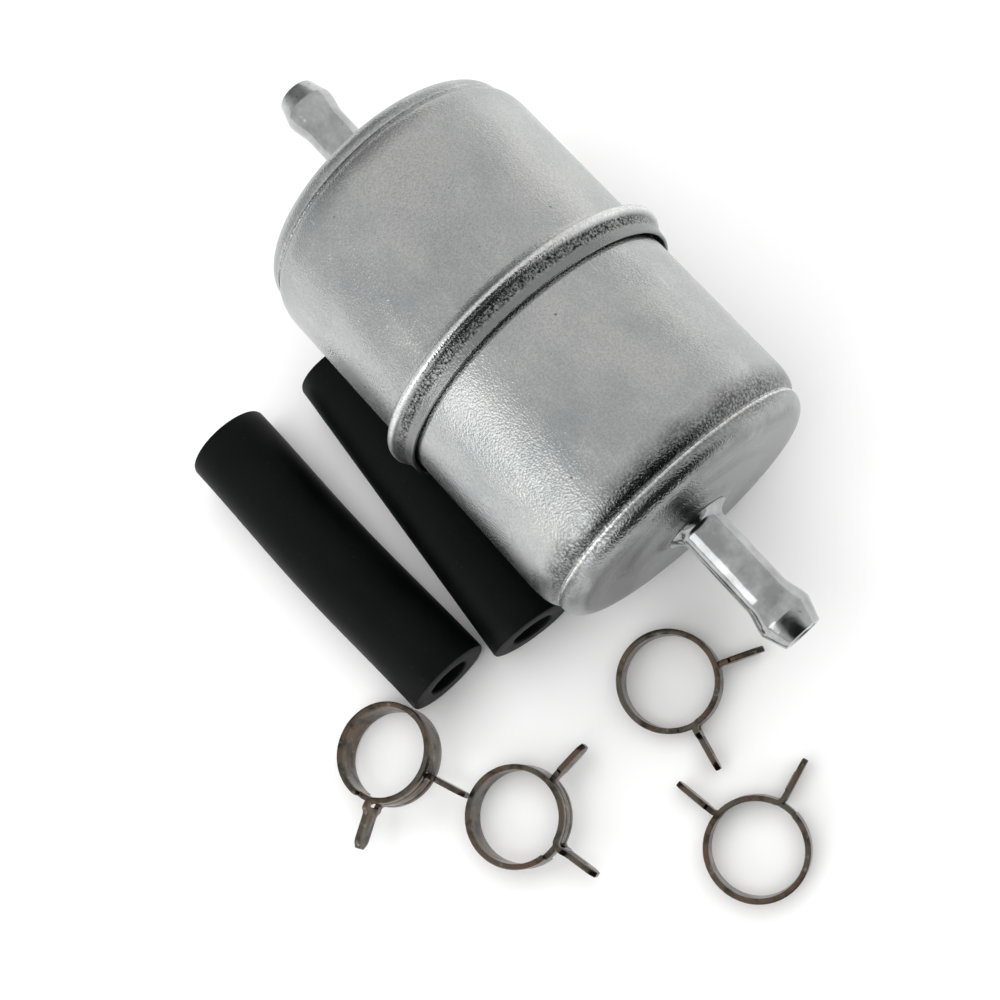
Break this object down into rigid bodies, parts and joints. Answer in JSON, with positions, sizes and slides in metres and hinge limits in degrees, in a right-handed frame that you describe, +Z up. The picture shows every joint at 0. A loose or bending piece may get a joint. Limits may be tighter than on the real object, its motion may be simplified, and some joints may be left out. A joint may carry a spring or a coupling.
{
  "type": "fuel filter",
  "caption": "Inline metal-can fuel filter with barbed hose nipples, shown with its short fuel hoses and tanged spring clamps.",
  "frame": {"origin": "middle of the whole set's footprint, on the surface it lies on", "axes": "+X along the filter's axis from inlet to outlet, +Z up from the surface the set lies on"},
  "size_m": [0.1228, 0.0884, 0.0462],
  "materials": {
    "plated_steel": "satin tin or zinc plate on pressed sheet steel",
    "bright_steel": "smooth drawn and plated steel",
    "spring_steel": "dull tempered spring steel",
    "black_rubber": "matte extruded fuel hose rubber",
    "seal_rubber": "matte moulded seal rubber",
    "filter_paper": "resin-treated pleated paper"
  },
  "bodies": {
    "housing": {"inlet_shell": "plated_steel", "outlet_shell": "plated_steel", "seam_seal": "seal_rubber", "inlet_nipple": "bright_steel", "outlet_nipple": "bright_steel", "inlet_braze_ring": "bright_steel", "outlet_braze_ring": "bright_steel", "retaining_spring": "spring_steel"},
    "element": {"filter_paper": "filter_paper", "perforated_core": "bright_steel", "closed_end_cap": "plated_steel", "open_end_cap": "plated_steel", "outlet_gasket": "seal_rubber", "spring_seat": "bright_steel"},
    "hose_1_piece": {"hose_1": "black_rubber"},
    "hose_2_piece": {"hose_2": "black_rubber"},
    "clamp_1": {"clamp_1_window_half": "spring_steel"},
    "clamp_1_tongue": {"clamp_1_tongue_half": "spring_steel"},
    "clamp_2": {"clamp_2_window_half": "spring_steel"},
    "clamp_2_tongue": {"clamp_2_tongue_half": "spring_steel"},
    "clamp_3": {"clamp_3_window_half": "spring_steel"},
    "clamp_3_tongue": {"clamp_3_tongue_half": "spring_steel"},
    "clamp_4": {"clamp_4_window_half": "spring_steel"},
    "clamp_4_tongue": {"clamp_4_tongue_half": "spring_steel"}
  },
  "joints": [
    {"name": "element_lift", "type": "slide", "parent": "housing", "child": "element", "axis": [-1, 0, 0], "range_m": [0, 0.002], "stiffness_N_per_m": 1500, "deforming": ["retaining_spring"]},
    {"name": "hose_1_slide", "type": "slide", "parent": "housing", "child": "hose_1_piece", "axis": [-0.9992, -0.0401, 0], "range_m": [0, 0.04]},
    {"name": "hose_2_slide", "type": "slide", "parent": "housing", "child": "hose_2_piece", "axis": [-0.9959, 0.0906, 0], "range_m": [0, 0.04]},
    {"name": "clamp_1_slide", "type": "slide", "parent": "housing", "child": "clamp_1", "axis": [0, -1, 0], "range_m": [0, 0.03]},
    {"name": "clamp_1_squeeze", "type": "hinge", "parent": "clamp_1", "child": "clamp_1_tongue", "pos_m": [0.00489, -0.03065, 0.00236], "axis": [0.2418, 0.0084, -0.9703], "range_deg": [0, 8], "stiffness_Nm_per_rad": 0.02},
    {"name": "clamp_2_slide", "type": "slide", "parent": "housing", "child": "clamp_2", "axis": [0.7071, -0.7071, 0], "range_m": [0, 0.03]},
    {"name": "clamp_2_squeeze", "type": "hinge", "parent": "clamp_2", "child": "clamp_2_tongue", "pos_m": [0.02582, -0.02998, 0.00239], "axis": [0.0982, 0.0358, -0.9945], "range_deg": [0, 8], "stiffness_Nm_per_rad": 0.02},
    {"name": "clamp_3_slide", "type": "slide", "parent": "housing", "child": "clamp_3", "axis": [0, 1, 0], "range_m": [0, 0.03]},
    {"name": "clamp_3_squeeze", "type": "hinge", "parent": "clamp_3", "child": "clamp_3_tongue", "pos_m": [0.02404, 0.0004, 0.00225], "axis": [0, 0, -1], "range_deg": [0, 8], "stiffness_Nm_per_rad": 0.02},
    {"name": "clamp_4_slide", "type": "slide", "parent": "housing", "child": "clamp_4", "axis": [1, 0, 0], "range_m": [0, 0.03]},
    {"name": "clamp_4_squeeze", "type": "hinge", "parent": "clamp_4", "child": "clamp_4_tongue", "pos_m": [0.06014, -0.00631, 0.00225], "axis": [0, 0, -1], "range_deg": [0, 8], "stiffness_Nm_per_rad": 0.02}
  ]
}
